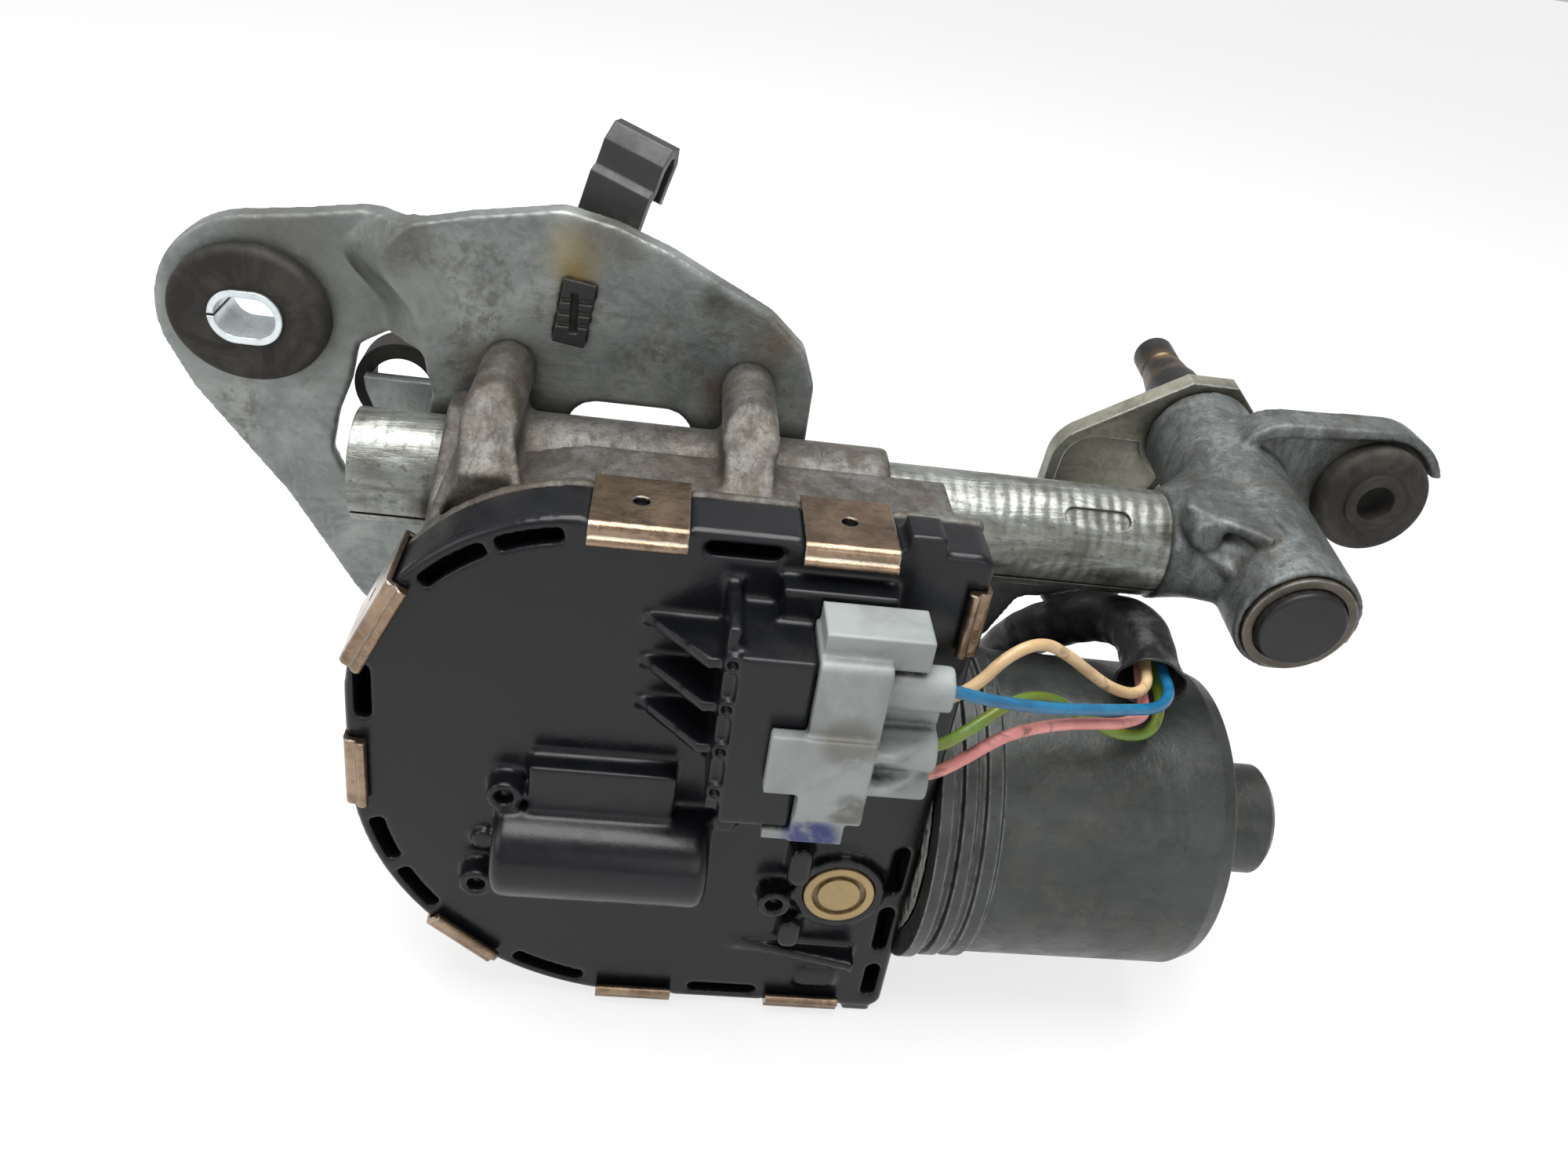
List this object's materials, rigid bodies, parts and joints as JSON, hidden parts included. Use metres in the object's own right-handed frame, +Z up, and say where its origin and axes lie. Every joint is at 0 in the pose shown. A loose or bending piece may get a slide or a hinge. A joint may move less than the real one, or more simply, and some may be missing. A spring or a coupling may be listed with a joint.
{
  "type": "windshield wiper drive",
  "caption": "Windshield wiper drive: reversing gearmotor with clipped cover, tube frame on rubber bushes, crank and link rod behind the bracket, lever and threaded wiper spindle.",
  "frame": {"origin": "centre of the left mounting bush, in the middle plane of the bracket's left lobe", "axes": "+X to the right along the frame tube, +Y away from the electronics cover towards the wiper side, +Z up"},
  "size_m": [0.2688, 0.1452, 0.1624],
  "materials": {
    "bracket_zinc": "dull zinc, bluish, stained",
    "tube_zinc": "dull zinc",
    "cast_alloy": "rough cast, dirty",
    "cover_black": "satin black",
    "disc_tan": "matt",
    "board_green": "satin",
    "can_zinc": "dark zinc",
    "ferrite": "matt",
    "inner_plastic": "satin",
    "carbon": "matt",
    "bearing_bronze": "sintered",
    "dark_steel": "blackened",
    "copper": "bright",
    "bush_rubber": "matt, dusty",
    "sleeve_steel": "worn",
    "clip_bronze": "satin, brown tint",
    "harness_clip_tan": "matt, dusty",
    "plug_grey": "matt, dirty",
    "sleeve_black": "satin",
    "fastener_zinc": "zinc",
    "gear_plastic": "natural",
    "lever_zinc": "yellowish zinc",
    "wire_blue": "satin",
    "wire_beige": "satin",
    "wire_green": "satin",
    "wire_pink": "satin"
  },
  "bodies": {
    "frame": {"bracket_plate": "bracket_zinc", "frame_tube": "tube_zinc", "gear_housing": "cast_alloy", "electronics_cover": "cover_black", "breather_disc": "disc_tan", "circuit_board": "board_green", "motor_can": "can_zinc", "magnet_upper": "ferrite", "magnet_lower": "ferrite", "brush_card": "inner_plastic", "brush_upper": "carbon", "brush_lower": "carbon", "front_bearing": "bearing_bronze", "rear_bearing": "bearing_bronze", "output_bush": "bearing_bronze", "lower_bush": "bearing_bronze", "upper_bush": "bearing_bronze", "end_ring": "dark_steel", "end_cap": "dark_steel", "bearing_housing": "cast_alloy", "left_grommet": "bush_rubber", "left_sleeve": "sleeve_steel", "right_grommet": "bush_rubber", "rear_tab": "bracket_zinc", "buffer_ring": "bush_rubber", "harness_clip": "harness_clip_tan", "connector_plug": "plug_grey", "cable_sleeve": "sleeve_black", "wire_bundle": "sleeve_black", "harness_plug": "inner_plastic", "bracket_screw_upper_left": "fastener_zinc", "bracket_screw_upper_right": "fastener_zinc", "bracket_screw_lower": "fastener_zinc", "wire_blue": "wire_blue", "wire_beige": "wire_beige", "wire_green": "wire_green", "wire_pink": "wire_pink", "cover_clip_top_left": "clip_bronze", "cover_clip_top_right": "clip_bronze", "cover_clip_upper_left": "clip_bronze", "cover_clip_left": "clip_bronze", "cover_clip_lower_left": "clip_bronze", "cover_clip_bottom_left": "clip_bronze", "cover_clip_bottom_right": "clip_bronze", "cover_clip_right_side": "clip_bronze"},
    "armature": {"armature_shaft": "dark_steel", "rotor_core": "dark_steel", "commutator": "copper"},
    "crank": {"worm_wheel": "gear_plastic", "output_shaft": "dark_steel", "crank_arm": "lever_zinc", "crank_nut": "fastener_zinc", "crank_stud": "fastener_zinc"},
    "link_rod": {"link_rod": "tube_zinc", "crank_socket": "inner_plastic", "lever_socket": "inner_plastic"},
    "spindle": {"wiper_spindle": "dark_steel", "spindle_lever": "lever_zinc", "lever_stud": "fastener_zinc", "spindle_clip": "dark_steel"}
  },
  "joints": [
    {"name": "motor_spin", "type": "hinge", "parent": "frame", "child": "armature", "pos_m": [0.16, -0.038, -0.0775], "axis": [1, 0, 0], "range_deg": [-1500, 3900]},
    {"name": "crank_turn", "type": "hinge", "parent": "frame", "child": "crank", "pos_m": [0.071, 0.005, -0.0459], "axis": [0, -1, 0], "range_deg": [-25, 65]},
    {"name": "rod_pivot", "type": "hinge", "parent": "crank", "child": "link_rod", "pos_m": [0.04921, 0.01614, -0.07945], "axis": [-0.028, 0.9996, 0.01], "range_deg": [-25, 65]},
    {"name": "spindle_turn", "type": "hinge", "parent": "frame", "child": "spindle", "pos_m": [0.205, 0.02144, -0.01383], "axis": [0, -0.9947, -0.1028], "range_deg": [-25, 65]}
  ],
  "couplings": [
    {"joint": "crank_turn", "follows": "motor_spin", "ratio": 0.016667},
    {"joint": "rod_pivot", "follows": "motor_spin", "ratio": 0.016667},
    {"joint": "spindle_turn", "follows": "motor_spin", "ratio": 0.016667}
  ]
}
